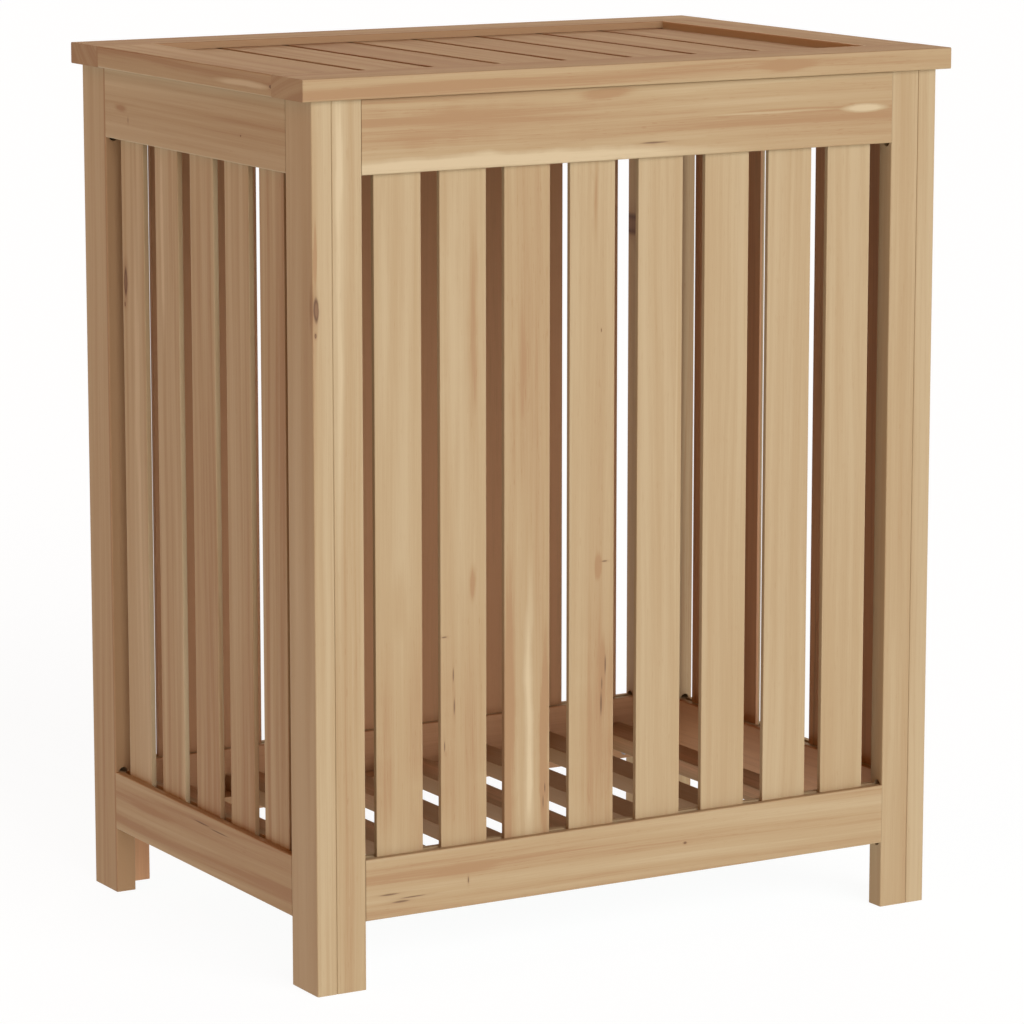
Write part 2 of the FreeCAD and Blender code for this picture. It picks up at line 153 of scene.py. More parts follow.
class Tree:
    """Adds nodes to a node tree, each joined to what it reads."""

    def __init__(self, tree):
        self.tree = tree

    def feed(self, socket, value):
        if isinstance(value, bpy.types.NodeSocket):
            self.tree.links.new(value, socket)
        else:
            socket.default_value = value

    def add(self, kind, inputs=None, **settings):
        node = self.tree.nodes.new("ShaderNode" + kind)
        for name, value in settings.items():
            setattr(node, name, value)
        for key, value in (inputs or {}).items():
            self.feed(node.inputs[key], value)
        return node

    def math(self, operation, *values):
        return self.add("Math", dict(enumerate(values)), operation=operation).outputs[0]

    def length(self, a, b):
        """How far a point is from the origin, from its two coordinates."""
        squares = self.math("ADD", self.math("MULTIPLY", a, a), self.math("MULTIPLY", b, b))
        return self.math("SQRT", squares)

    def point(self, x, y, z):
        return self.add("CombineXYZ", {0: x, 1: y, 2: z}).outputs[0]

    def noise(self, vector, detail):
        """Smooth noise about zero, with one feature per unit of the vector."""
        inputs = {"Vector": vector, "Scale": 1.0, "Detail": detail, "Roughness": 0.5}
        return self.math("SUBTRACT", self.add("TexNoise", inputs).outputs[0], 0.5)

    def smooth_step(self, value, low, high):
        """0 at low and 1 at high, which may be the smaller one."""
        inputs = {"Value": value, "From Min": low, "From Max": high}
        return self.add("MapRange", inputs, interpolation_type="SMOOTHSTEP").outputs[0]

    def mix(self, share, first, second):
        node = self.add("Mix", {0: share}, data_type="RGBA")
        self.feed(node.inputs[6], first)
        self.feed(node.inputs[7], second)
        return node.outputs[2]

    def group(self, tree, inputs):
        node = self.add("Group", node_tree=tree)
        for key, value in inputs.items():
            self.feed(node.inputs[key], value)
        return node


def new_group(name, inputs, outputs):
    """A node group. inputs are the names of its numbers; outputs are (name, kind) pairs."""
    group = bpy.data.node_groups.new(name, "ShaderNodeTree")
    for label in inputs:
        group.interface.new_socket(label, in_out="INPUT", socket_type="NodeSocketFloat")
    for label, kind in outputs:
        group.interface.new_socket(label, in_out="OUTPUT", socket_type="NodeSocket" + kind)
    entry = group.nodes.new("NodeGroupInput").outputs
    end = group.nodes.new("NodeGroupOutput").inputs
    return group, Tree(group), entry, end


def new_material(name):
    material = bpy.data.materials.new(name)
    material.use_nodes = True
    return material, Tree(material.node_tree), material.node_tree.nodes["Principled BSDF"]


# ---- Wood ------------------------------------------------------------------------

PALEST = (0.500, 0.392, 0.238, 1.0)
PALE = (0.426, 0.319, 0.181, 1.0)
MIDDLE = (0.380, 0.266, 0.138, 1.0)
WARM = (0.323, 0.192, 0.091, 1.0)
# Heartwood reds, which are mostly painted shade: the inward faces and the floor ledgers reach them
HEARTWOOD_AND_SHADE = (0.490, 0.260, 0.127, 1.0)
DEEP_HEARTWOOD_AND_SHADE = (0.385, 0.193, 0.092, 1.0)
CRACK = (0.125, 0.066, 0.034, 1.0)
KNOT = (0.105, 0.048, 0.022, 1.0)
KNOT_HEART = (0.215, 0.115, 0.056, 1.0)
HALO = (0.251, 0.134, 0.059, 1.0)
END_GRAIN = (0.251, 0.153, 0.076, 1.0)
# Paler colour of the long edges: partly wear, partly a painted highlight
WORN_AND_HIGHLIGHT = (0.450, 0.318, 0.186, 1.0)

# The tones between which the wood turns to each colour, from deep heartwood on. The two
# heartwood reds are mostly reached by the painted shade of the inward faces and of the ledgers
COLOUR_STEPS = (
    (HEARTWOOD_AND_SHADE, -2.40, -1.50),
    (WARM, -1.60, -0.80),
    (MIDDLE, -0.05, 0.52),
    (PALE, 0.42, 1.00),
    (PALEST, 0.95, 1.70),
)

# How many features of each kind of grain there are in a metre across it and along it
BROAD = (85.0, 1.3)
BANDS = (300.0, 4.0)
LINES = (1300.0, 12.0)
FIBRES = (1900.0, 40.0)
FLECKS = (1100.0, 110.0)
WANDER = (9.0, 3.5)
WANDER_BY = 7 * MM
DRIFT = 2.0
# Where each layer starts in the noise, so that no two are alike
BROAD_START = 0.0
DRIFT_START = 3.0
SWAY_START = 5.0
BANDS_START = 17.0
LINES_START = 31.0
# How much each adds to the tone
BROAD_TONE = 1.00
BANDS_TONE = 0.70
LINES_TONE = 0.34
DRIFT_TONE = 0.50
FIBRES_TONE = 0.34
FLECKS_TONE = -0.15
# The noise at which a fleck starts and at which it is whole
FLECKS_NOISE = (0.20, 0.32)


def grain_group():
    """Straight-grained wood. Growth rings lie about a pith line outside the board, so that the
    faces, the edges and the end grain of one board agree. Distances are in metres."""
    names = (
        "Across", "Thick", "Along", "Seed", "Pith Across", "Pith Thick", "Lean", "Tone", "Contrast")
    outputs = (("Colour", "Color"), ("Relief", "Float"), ("Tone", "Float"))
    group, tree, entry, end = new_group("grain", names, outputs)
    across, thick, along, seed, pith_across, pith_thick, lean, tone, contrast = (
        entry[n] for n in names)
    slow = tree.point(
        tree.math("MULTIPLY", across, WANDER[0]),
        tree.math("MULTIPLY_ADD", along, WANDER[1], seed),
        tree.math("MULTIPLY", thick, WANDER[0]),
    )
    bent = tree.math("MULTIPLY_ADD", tree.noise(slow, 1.0), WANDER_BY, across)
    leaned = tree.math("MULTIPLY_ADD", along, lean, bent)
    run_across = tree.math("SUBTRACT", leaned, pith_across)
    run_thick = tree.math("SUBTRACT", thick, pith_thick)
    ring = tree.length(run_across, run_thick)

    def layer(size, start, detail):
        vector = tree.point(
            tree.math("MULTIPLY", ring, size[0]),
            tree.math("MULTIPLY_ADD", along, size[1], start),
            seed,
        )
        return tree.noise(vector, detail)

    lines = layer(LINES, LINES_START, 2.0)
    drift_point = tree.point(seed, tree.math("MULTIPLY", along, DRIFT), DRIFT_START)
    for part, weight in (
        (layer(BROAD, BROAD_START, 1.0), BROAD_TONE),
        (layer(BANDS, BANDS_START, 2.0), BANDS_TONE),
        (lines, LINES_TONE),
        (tree.noise(drift_point, 1.0), DRIFT_TONE),
    ):
        tone = tree.math("MULTIPLY_ADD", tree.math("MULTIPLY", part, contrast), weight, tone)
    fibre_point = tree.point(
        tree.math("MULTIPLY", across, FIBRES[0]),
        tree.math("MULTIPLY_ADD", along, FIBRES[1], seed),
        tree.math("MULTIPLY", thick, FIBRES[0]),
    )
    fibres = tree.noise(fibre_point, 1.0)
    tone = tree.math("MULTIPLY_ADD", fibres, FIBRES_TONE, tone)
    fleck_point = tree.point(
        tree.math("MULTIPLY", across, FLECKS[0]),
        tree.math("MULTIPLY", along, FLECKS[1]),
        tree.math("MULTIPLY_ADD", thick, FLECKS[0], seed),
    )
    flecks = tree.smooth_step(tree.noise(fleck_point, 0.0), *FLECKS_NOISE)
    tone = tree.math("MULTIPLY_ADD", flecks, FLECKS_TONE, tone)
    colour = DEEP_HEARTWOOD_AND_SHADE
    for next_colour, first_tone, last_tone in COLOUR_STEPS:
        colour = tree.mix(tree.smooth_step(tone, first_tone, last_tone), colour, next_colour)
    tree.feed(end["Colour"], colour)
    tree.feed(end["Relief"], tree.math("ADD", fibres, lines))
    tree.feed(end["Tone"], tone)
    return group


# A mark's ragged rim and its sway: how many in a metre, and how large in its half widths
RAGGED = (45.0, 1.1)
SWAY = (14.0, 1.2)


def mark_group():
    """1 inside a long spot that lies along the grain, falling to 0 at its ragged rim."""
    names = ("Across", "Along", "At Across", "At Along", "Half Width", "Half Length", "Soft", "Seed")
    group, tree, entry, end = new_group("mark", names, (("Mask", "Float"),))
    across, along, at_across, at_along, half_width, half_length, soft, seed = (entry[n] for n in names)
    rough = tree.noise(tree.point(tree.math("MULTIPLY", along, RAGGED[0]), seed, 0.0), 3.0)
    sway = tree.noise(tree.point(tree.math("MULTIPLY", along, SWAY[0]), seed, SWAY_START), 1.0)
    width = tree.math("MULTIPLY", half_width, tree.math("MULTIPLY_ADD", rough, RAGGED[1], 1.0))
    centre = tree.math("MULTIPLY_ADD", tree.math("MULTIPLY", sway, half_width), SWAY[1], at_across)
    wide = tree.math("DIVIDE", tree.math("SUBTRACT", across, centre), width)
    long = tree.math("DIVIDE", tree.math("SUBTRACT", along, at_along), half_length)
    inner = tree.math("SUBTRACT", 1.0, soft)
    tree.feed(end["Mask"], tree.smooth_step(tree.length(wide, long), 1.0, inner))
    return group


GRAIN = grain_group()
MARK = mark_group()

# How much of a mark's half size its soft rim takes up
BAND_SOFT = 0.9
KNOT_SOFT = 0.45
CRACK_SOFT = 0.7


def mark(kind, across, along, width, length, soft, by=0.0, reach=None):
    """A spot on a board. Places are shares of its width and length, and sizes are millimetres.
    reach is how far it goes in from the low side of the board's thickness."""
    return dict(
        kind=kind, across=across, along=along, width=width, length=length,
        soft=soft, by=by, reach=reach,
    )


def band(across, along, width, length, by, soft=BAND_SOFT, reach=None):
    """A stretch of paler wood, or of warmer wood where by is negative. Some bands are painted light or
    painted shade rather than wood.
    """
    return mark("band", across, along, width, length, soft, by, reach)


def knot(across, along, width, length, reach=None):
    return mark("knot", across, along, width, length, KNOT_SOFT, reach=reach)


def crack(across, along, width, length, reach=None):
    return mark("crack", across, along, width, length, CRACK_SOFT, reach=reach)


def mark_mask(tree, board, spot, grow=1.0, soft=None):
    """Where a mark lies on its board, made larger by grow."""
    inputs = {
        "Across": board["across"],
        "Along": board["along"],
        "At Across": board["size"][0] * (spot["across"] - 0.5),
        "At Along": board["size"][2] * (spot["along"] - 0.5),
        "Half Width": spot["width"] * MM / 2 * grow,
        "Half Length": spot["length"] * MM / 2 * grow,
        "Soft": spot["soft"] if soft is None else soft,
        # Any number that differs from mark to mark
        "Seed": spot["across"] * 10 + spot["along"] * 37,
    }
    mask = tree.group(MARK, inputs).outputs[0]
    if spot["reach"] is None:
        return mask
    depth = tree.math("ADD", board["thick"], board["size"][1] / 2)
    shallow = tree.smooth_step(depth, spot["reach"] * MM, spot["reach"] * MM / 2)
    return tree.math("MULTIPLY", mask, shallow)


def board_space(tree, low, high, axes, repeat):
    """The board's own coordinates from its middle: across its width, its thickness and its length.
    A repeat is (start, pitch, width) for a row of like boards that share one node."""
    place = tree.add("TexCoord").outputs["Object"]
    parts = tree.add("SeparateXYZ", {0: place}).outputs
    middle = (low + high) / 2
    size = high - low
    thick = tree.math("SUBTRACT", parts[axes[1]], middle[axes[1]])
    along = tree.math("SUBTRACT", parts[axes[2]], middle[axes[2]])
    sizes = [size[axis] for axis in axes]
    if repeat is None:
        across = tree.math("SUBTRACT", parts[axes[0]], middle[axes[0]])
        return dict(across=across, thick=thick, along=along, size=sizes, number=0.0)
    start, pitch, width = repeat
    steps = tree.math("DIVIDE", tree.math("SUBTRACT", parts[axes[0]], start), pitch)
    number = tree.math("FLOOR", steps)
    inside = tree.math("MULTIPLY", tree.math("SUBTRACT", steps, number), pitch)
    across = tree.math("SUBTRACT", inside, pitch / 2)
    sizes[0] = width
    return dict(across=across, thick=thick, along=along, size=sizes, number=number)


# How far a board's pith lies from its middle, in millimetres, and how much its grain leans
PITH_ACROSS = (60, 200)
PITH_THICK = (25, 90)
LEAN = 0.012
SEEDS = 90
# In a row of boards: the step in seed and the spread in tone and in pith, in metres, among them
ROW_SEED = 7.31
ROW_TONE = 0.28
ROW_PITH = 0.2

# A knot bends the grain round it. Each ring of a mark is so much larger than the mark, so soft,
# and covers such a share of the wood
KNOT_BEND = dict(grow=3.2, soft=1.0)
KNOT_BEND_BY = -0.7
KNOT_RINGS = (
    (HALO, dict(grow=2.0, soft=1.0), 0.75),
    (KNOT, dict(), 0.92),
    (KNOT_HEART, dict(grow=0.62, soft=0.5), 0.80),
)
CRACK_RINGS = (
    (HALO, dict(grow=2.4, soft=1.0), 0.30),
    (CRACK, dict(), 0.80),
)

# End grain: how far a face has turned to the board's length, the tones of its dark and pale rings
# and its share
END_TURN = (0.6, 0.95)
END_TONES = (0.1, 0.9)
END_SHARE = 0.25
# Wear on the long edges, paler, which is partly real wear and partly a painted highlight where the
# rounded edges catch light: how wide, how many scuffs in a metre, their noise and their share
WEAR_AND_HIGHLIGHT_REACH = 1.6 * MM
SCUFFS = 55.0
SCUFFS_NOISE = (-0.15, 0.2)
WEAR_AND_HIGHLIGHT_SHARE = 0.14

ROUGHNESS = 0.62
ROUGHNESS_BY_RELIEF = 0.22
ROUGHNESS_BY_WEAR = -0.10
RELIEF_HEIGHT = 0.5
MARK_DEPTH = 2.0
BUMP_STRENGTH = 0.35
BUMP_DISTANCE = 0.15 * MM
WOOD_SPECULAR = 0.30


def shift_tone(tree, board, marks, tone):
    for spot in marks:
        if spot["kind"] == "band":
            tone = tree.math("MULTIPLY_ADD", mark_mask(tree, board, spot), spot["by"], tone)
    return tone


def bend_round_knots(tree, board, marks):
    across = board["across"]
    for spot in marks:
        if spot["kind"] == "knot":
            spread = mark_mask(tree, board, spot, **KNOT_BEND)
            away = tree.math("SUBTRACT", across, board["size"][0] * (spot["across"] - 0.5))
            pull = tree.math("MULTIPLY", away, spread)
            across = tree.math("MULTIPLY_ADD", pull, KNOT_BEND_BY, across)
    return across


def paint_marks(tree, board, marks, colour):
    """The colour with knots and cracks on it, and how deep they are."""
    depth = 0.0
    for spot in marks:
        if spot["kind"] == "band":
            continue
        for ring_colour, ring, share in KNOT_RINGS if spot["kind"] == "knot" else CRACK_RINGS:
            mask = mark_mask(tree, board, spot, **ring)
            colour = tree.mix(tree.math("MULTIPLY", mask, share), colour, ring_colour)
        depth = tree.math("MAXIMUM", mark_mask(tree, board, spot), depth)
    return colour, depth


def paint_ends(tree, length_axis, tone, colour):
    normal = tree.add("SeparateXYZ", {0: tree.add("TexCoord").outputs["Normal"]})
    turn = tree.math("ABSOLUTE", normal.outputs[length_axis])
    rings = tree.mix(tree.smooth_step(tone, *END_TONES), END_GRAIN, colour)
    share = tree.math("MULTIPLY", tree.smooth_step(turn, *END_TURN), END_SHARE)
    return tree.mix(share, colour, rings)


def wear_and_edge_highlight(tree, board, seed):
    """1 where the board's four long edges are scuffed and take a painted highlight, falling to 0 away
    from them.
    """
    gaps = []
    for key, size in (("across", board["size"][0]), ("thick", board["size"][1])):
        gaps.append(tree.math("SUBTRACT", size / 2, tree.math("ABSOLUTE", board[key])))
    edges = tree.smooth_step(tree.math("MAXIMUM", *gaps), WEAR_AND_HIGHLIGHT_REACH, 0.0)
    scuff_point = tree.point(tree.math("MULTIPLY", board["along"], SCUFFS), seed, 0.0)
    return tree.math("MULTIPLY", edges, tree.smooth_step(tree.noise(scuff_point, 3.0), *SCUFFS_NOISE))


def wood(name, low, high, axes, tone, marks=(), repeat=None, contrast=1.0):
    """A material for one board. axes are the axes of its width, its thickness and its length."""
    dice = random.Random(name)
    material, tree, shader = new_material("wood_" + name)
    board = board_space(tree, low, high, axes, repeat)
    seed = tree.math("MULTIPLY_ADD", board["number"], ROW_SEED, dice.uniform(0, SEEDS))
    pith_across = dice.choice((-1, 1)) * dice.uniform(*PITH_ACROSS) * MM
    pith_thick = dice.choice((-1, 1)) * dice.uniform(*PITH_THICK) * MM
    if repeat is not None:
        drawn = tree.add("TexWhiteNoise", {"W": seed}, noise_dimensions="1D").outputs["Value"]
        tone = tree.math("MULTIPLY_ADD", drawn, ROW_TONE, tone - ROW_TONE / 2)
        pith_across = tree.math("MULTIPLY_ADD", drawn, ROW_PITH, -ROW_PITH / 2)
    grain = tree.group(GRAIN, {
        "Across": bend_round_knots(tree, board, marks),
        "Thick": board["thick"],
        "Along": board["along"],
        "Seed": seed,
        "Pith Across": pith_across,
        "Pith Thick": pith_thick,
        "Lean": dice.uniform(-LEAN, LEAN),
        "Tone": shift_tone(tree, board, marks, tone),
        "Contrast": contrast,
    })
    relief = grain.outputs["Relief"]
    colour, depth = paint_marks(tree, board, marks, grain.outputs["Colour"])
    colour = paint_ends(tree, axes[2], grain.outputs["Tone"], colour)
    worn_and_highlit = wear_and_edge_highlight(tree, board, seed)
    # Paler long edges: partly wear, partly a painted highlight
    colour = tree.mix(tree.math("MULTIPLY", worn_and_highlit, WEAR_AND_HIGHLIGHT_SHARE), colour, WORN_AND_HIGHLIGHT)
    tree.feed(shader.inputs["Base Color"], colour)
    rough = tree.math("MULTIPLY_ADD", relief, ROUGHNESS_BY_RELIEF, ROUGHNESS)
    tree.feed(shader.inputs["Roughness"], tree.math("MULTIPLY_ADD", worn_and_highlit, ROUGHNESS_BY_WEAR, rough))
    height = tree.math(
        "SUBTRACT",
        tree.math("MULTIPLY", relief, RELIEF_HEIGHT),
        tree.math("MULTIPLY", depth, MARK_DEPTH),
    )
    bump = tree.add("Bump", {"Strength": BUMP_STRENGTH, "Distance": BUMP_DISTANCE, "Height": height})
    tree.feed(shader.inputs["Normal"], bump.outputs[0])
    shader.inputs["Specular IOR Level"].default_value = WOOD_SPECULAR
    return material


def dress(node, material):
    """Gives a CAD node one material."""
    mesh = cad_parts[node].data
    mesh.materials.clear()
    mesh.materials.append(material)


# ---- What each board looks like ---------------------------------------------------

# The axes of a board's width, thickness and length
ACROSS_X = (X, Y, Z)
ACROSS_Y = (Y, X, Z)
LONG_X = (Z, Y, X)
LONG_Y = (Z, X, Y)
FLAT_Y = (X, Z, Y)

# Each family's axes, its tone, the contrast of its grain, and whether it has the painted shade, a
# red-brown darkening, on its inward side. A tone of 0 is warm, 0.5 is the middle colour, 1 is pale,
# and under -0.8 the wood turns to heartwood red, which is also the colour of the painted shade
BOARDS = {
    "post_side_board_*": (ACROSS_X, 0.66, 1.5, False),
    "post_face_board_front_*": (ACROSS_X, 0.66, 1.4, False),
    "post_face_board_back_*": (ACROSS_X, 0.66, 1.4, True),
    "rail_*_front": (LONG_X, 0.48, 1.4, False),
    "rail_*_back": (LONG_X, 0.48, 1.4, True),
    "rail_*_left": (LONG_Y, 0.50, 2.0, False),
    "rail_*_right": (LONG_Y, 0.50, 1.6, True),
    "slat_front_*": (ACROSS_X, 0.66, 1.0, False),
    "slat_back_*": (ACROSS_X, 0.66, 1.0, True),
    "slat_left_*": (ACROSS_Y, 0.46, 2.2, False),
    "slat_right_*": (ACROSS_Y, 0.46, 2.2, True),
    # Painted shade: the floor ledgers inside get a tone low enough for the heartwood red
    "floor_ledger_*": (LONG_X, -1.20, 1.0, False),
    "lid_frame_front": (LONG_X, 0.20, 1.5, False),
    "lid_frame_back": (LONG_X, 0.34, 1.8, False),
    "lid_frame_left": (LONG_Y, 0.40, 2.0, False),
    "lid_frame_right": (LONG_Y, 0.48, 1.8, False),
}
# Nodes that are each a row of like boards, which lie flat along Y: their tone and contrast
ROWS = {
    # Painted shade: the floor battens inside get a dark warm tone
    "floor_battens": (-0.95, 1.5),
    "lid_slats": (0.28, 1.6),
}
DOWEL_TONE = 0.7

# The tones of single boards that differ from their family's
TONES = {
    "post_side_board_back_left": 0.60,
    "post_side_board_back_right": 0.30,
    "slat_front_3": 0.46,
    "slat_front_4": 0.70,
    "slat_left_5": 1.10,
    "slat_left_4": 0.64,
    "post_face_board_front_right": 0.52,
    "post_side_board_front_right": 0.74,
    "rail_top_front": 0.42,
    "rail_top_left": 0.92,
}

# Painted shade on the low side of a board's thickness, which faces inwards at the back and the
# right, a red-brown darkening: what it adds to the tone, how deep it goes in millimetres, and its
# size in board sizes
INSIDE_SHADE_BY = -2.25
INSIDE_SHADE_REACH = 3
INSIDE_SHADE_SIZE = 3
INSIDE_SHADE_SOFT = 0.3

# Marks that single boards have. A band that is larger than its board and has a reach is the whole
# low side of the board's thickness
MARKS = {
    "post_side_board_front_left": [
        knot(0.22, 0.773, 5.0, 21, reach=6),
        knot(0.14, 0.745, 1.8, 4, reach=4),
        band(0.14, 0.834, 3.5, 60, -0.8, reach=8),
    ],
    "post_face_board_front_left": [
        band(0.25, 0.76, 10, 420, 0.35),
        band(0.25, 0.93, 9, 120, 0.45),
    ],
    # Painted shade: the whole front-facing edge face of this board darkened to red-brown
    "post_side_board_back_left": [band(0.5, 0.5, 60, 1500, -1.0, 0.3, reach=3)],
    "post_face_board_back_right": [knot(0.02, 0.763, 2.6, 22)],
    "slat_left_5": [
        knot(0.86, 0.772, 6.5, 26),
        knot(0.90, 0.738, 2.6, 4),
        band(0.39, 0.62, 10, 340, 0.5),
    ],
    "slat_left_4": [band(0.70, 0.86, 7, 210, 1.5)],
    "slat_front_1": [
        band(0.50, 0.377, 18, 70, -0.25),
        # Painted shade: the lower part of the slat darker across its whole width
        band(0.60, 0.16, 60, 300, -0.42),
        band(0.22, 0.80, 9, 220, 0.25),
    ],
    "slat_front_2": [
        band(0.27, 0.76, 20, 260, 0.30),
        band(0.70, 0.756, 11, 250, -0.45),
        band(0.70, 0.394, 8, 36, -0.75),
        # Painted shade: the lower part of the slat darker across its whole width
        band(0.60, 0.16, 60, 300, -0.38),
        crack(0.272, 0.265, 1.4, 13),
        crack(0.293, 0.219, 1.5, 15),
        crack(0.076, 0.162, 1.4, 10),
        crack(0.076, 0.321, 5.5, 1.5),
    ],
    "slat_front_3": [
        band(0.315, 0.665, 16, 230, -0.30),
        band(0.54, 0.20, 9, 280, 0.95),
        band(0.55, 0.08, 13, 90, 0.50),
        band(0.91, 0.15, 10, 240, -0.75),
        band(0.10, 0.18, 18, 300, -0.60),
        band(0.88, 0.075, 7, 40, -0.70),
        crack(0.90, 0.082, 1.3, 9),
        crack(0.86, 0.062, 1.1, 12),
    ],
    "slat_front_4": [
        band(0.578, 0.93, 7, 95, -0.45),
        band(0.645, 0.398, 8, 26, -0.75),
        # Painted shade: the lower part of the slat darker across its whole width
        band(0.50, 0.15, 50, 280, -0.40),
        knot(0.702, 0.741, 1.0, 2.8),
        crack(0.79, 0.405, 6.0, 1.5),
        band(0.77, 0.24, 8, 70, -0.60),
        crack(0.815, 0.252, 1.6, 18),
        crack(0.740, 0.225, 1.2, 12),
        crack(0.724, 0.195, 1.7, 22),
    ],
    "slat_front_5": [band(0.883, 0.55, 2.5, 450, 0.45)],
    "rail_top_front": [
        band(0.898, 0.448, 11, 60, -0.85, 1.0),
        band(0.05, 0.27, 15, 460, 0.95, 0.6),
        band(0.60, 0.22, 34, 420, -0.42),
        band(0.507, 0.914, 7, 48, 1.5, 0.6),
        band(0.524, 0.742, 2.5, 140, 0.80),
        crack(0.206, 0.533, 1.4, 28, reach=3),
    ],
    "rail_bottom_front": [
        band(0.624, 0.203, 12, 74, -0.42, 1.0),
        knot(0.509, 0.596, 2.2, 3.0, reach=4),
        crack(0.244, 0.094, 1.6, 18, reach=3),
        crack(0.383, 0.074, 1.4, 20, reach=3),
        crack(0.300, 0.115, 1.3, 26, reach=3),
        crack(0.432, 0.210, 6.5, 1.5, reach=3),
    ],
    "rail_top_left": [
        band(0.444, 0.865, 8, 26, -1.0),
        crack(0.312, 0.827, 5.0, 1.4, reach=3),
        knot(0.384, 0.261, 1.2, 1.8, reach=3),
    ],
    "rail_bottom_left": [
        crack(0.824, 0.494, 1.4, 32, reach=3),
        crack(0.800, 0.405, 1.4, 36, reach=3),
        band(0.60, 0.75, 9, 90, -0.5),
    ],
    "lid_frame_left": [
        band(0.45, 0.19, 6, 110, 1.5, 0.7, reach=6),
        knot(0.46, 0.066, 2.6, 6, reach=4),
    ],
    # Painted light: the inner face of the lid's recess made paler
    "lid_frame_right": [band(0.5, 0.5, 40, 900, 2.0, 0.3, reach=3)],
    # Painted shade: the inner face of the lid's recess darkened
    "lid_frame_back": [band(0.5, 0.5, 40, 900, -0.9, 0.3, reach=3)],
    "lid_frame_front": [
        band(0.55, 0.732, 11, 64, -0.85, 1.0, reach=8),
    ],
}


def dress_board(node, axes, tone, contrast, shade_inside):
    low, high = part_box(node)
    marks = list(MARKS.get(node, ()))
    # Painted shade: the inward face is darkened to red-brown
    if shade_inside:
        width, _, length = ((high - low)[axis] / MM * INSIDE_SHADE_SIZE for axis in axes)
        marks.append(band(0.5, 0.5, width, length, INSIDE_SHADE_BY, INSIDE_SHADE_SOFT, INSIDE_SHADE_REACH))
    tone = TONES.get(node, tone)
    dress(node, wood(node, low, high, axes, tone, marks, contrast=contrast))


def dress_boards():
    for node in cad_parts:
        for pattern, look in BOARDS.items():
            if fnmatch(node, pattern):
                dress_board(node, *look)


# Things nearer to each other than this along an axis count as one
SPAN_GAP = 0.1 * MM


def spans_of(node, axis=X):
    """The lowest and highest place of each separate thing in one node, in order along an axis."""
    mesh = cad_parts[node].data
    spans = []
    for face in mesh.polygons:
        places = [mesh.vertices[index].co[axis] for index in face.vertices]
        spans.append((min(places), max(places)))
    joined = []
    for low, high in sorted(spans):
        if joined and low <= joined[-1][1] + SPAN_GAP:
            joined[-1][1] = max(joined[-1][1], high)
        else:
            joined.append([low, high])
    return joined


def row_of(node):
    """(start, pitch, width) of the like boards in one node. Each has half a gap on either side."""
    spans = spans_of(node)
    width = spans[0][1] - spans[0][0]
    pitch = (spans[-1][0] - spans[0][0]) / (len(spans) - 1)
    return spans[0][0] - (pitch - width) / 2, pitch, width


def dress_rows():
    for node, (tone, contrast) in ROWS.items():
        low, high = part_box(node)
        dress(node, wood(node, low, high, FLAT_Y, tone, repeat=row_of(node), contrast=contrast))


def dress_dowels():
    low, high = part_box("post_dowels")
    dress("post_dowels", wood("post_dowels", low, high, LONG_X, DOWEL_TONE))


# ---- Metal ---------------------------------------------------------------------------

BRASS = (0.44, 0.31, 0.13, 1.0)
TARNISH = (0.29, 0.19, 0.08, 1.0)
ZINC = (0.40, 0.40, 0.41, 1.0)
DULL_ZINC = (0.27, 0.27, 0.275, 1.0)
# Brush lines in a metre across them and along them, dull patches in a metre, how much the lines
# break the patches up, and the noise at which the metal starts to be dull and is quite dull
BRUSH_ACROSS = 9000.0
BRUSH_ALONG = 120.0
PATCHES = 260.0
BRUSH_IN_PATCHES = 0.35
DULL_NOISE = (-0.12, 0.22)
BRIGHT_ROUGHNESS = 0.40
ROUGHNESS_BY_DULL = 0.18
BRUSH_STRENGTH = 0.25
BRUSH_DEPTH = 0.02 * MM


def metal(name, bright, dull, brush_axis):
    """Brushed metal with fine lines along one axis and dull patches."""
    material, tree, shader = new_material(name)
    place = tree.add("SeparateXYZ", {0: tree.add("TexCoord").outputs["Object"]}).outputs
    scales = [BRUSH_ACROSS] * 3
    scales[brush_axis] = BRUSH_ALONG
    lines = tree.noise(tree.point(*(tree.math("MULTIPLY", p, s) for p, s in zip(place, scales))), 2.0)
    patches = tree.noise(tree.point(*(tree.math("MULTIPLY", p, PATCHES) for p in place)), 3.0)
    dulled = tree.smooth_step(
        tree.math("MULTIPLY_ADD", lines, BRUSH_IN_PATCHES, patches), *DULL_NOISE)
    tree.feed(shader.inputs["Base Color"], tree.mix(dulled, bright, dull))
    rough = tree.math("MULTIPLY_ADD", dulled, ROUGHNESS_BY_DULL, BRIGHT_ROUGHNESS)
    tree.feed(shader.inputs["Roughness"], rough)
    bump = tree.add("Bump", {"Strength": BRUSH_STRENGTH, "Distance": BRUSH_DEPTH, "Height": lines})
    tree.feed(shader.inputs["Normal"], bump.outputs[0])
    shader.inputs["Metallic"].default_value = 1.0
    return material


# Countersunk screws in millimetres: the radii of the head and the thread, and the head's height
HINGE_SCREW = (2.4, 1.25, 1.2)
LEDGER_SCREW = (3.4, 1.75, 2.0)
SCREW_STEPS = 40
# The head's rounded rim in head radii, the thread's pitch in millimetres, the root of the thread in
# its own radii, and the length of the point in pitches
HEAD_RIM = 0.06
THREAD_PITCH = 0.9
THREAD_ROOT = 0.78
POINT_PITCHES = 2.5
# The cross in a head: its arms' length and width in head radii, its depth in head heights, and how
# much of their length the arms have at the foot and at one head height above the head
CROSS_LENGTH = 1.15
CROSS_WIDTH = 0.24
CROSS_DEPTH = 0.75
CROSS_FOOT = 0.5
CROSS_TOP = 1.8


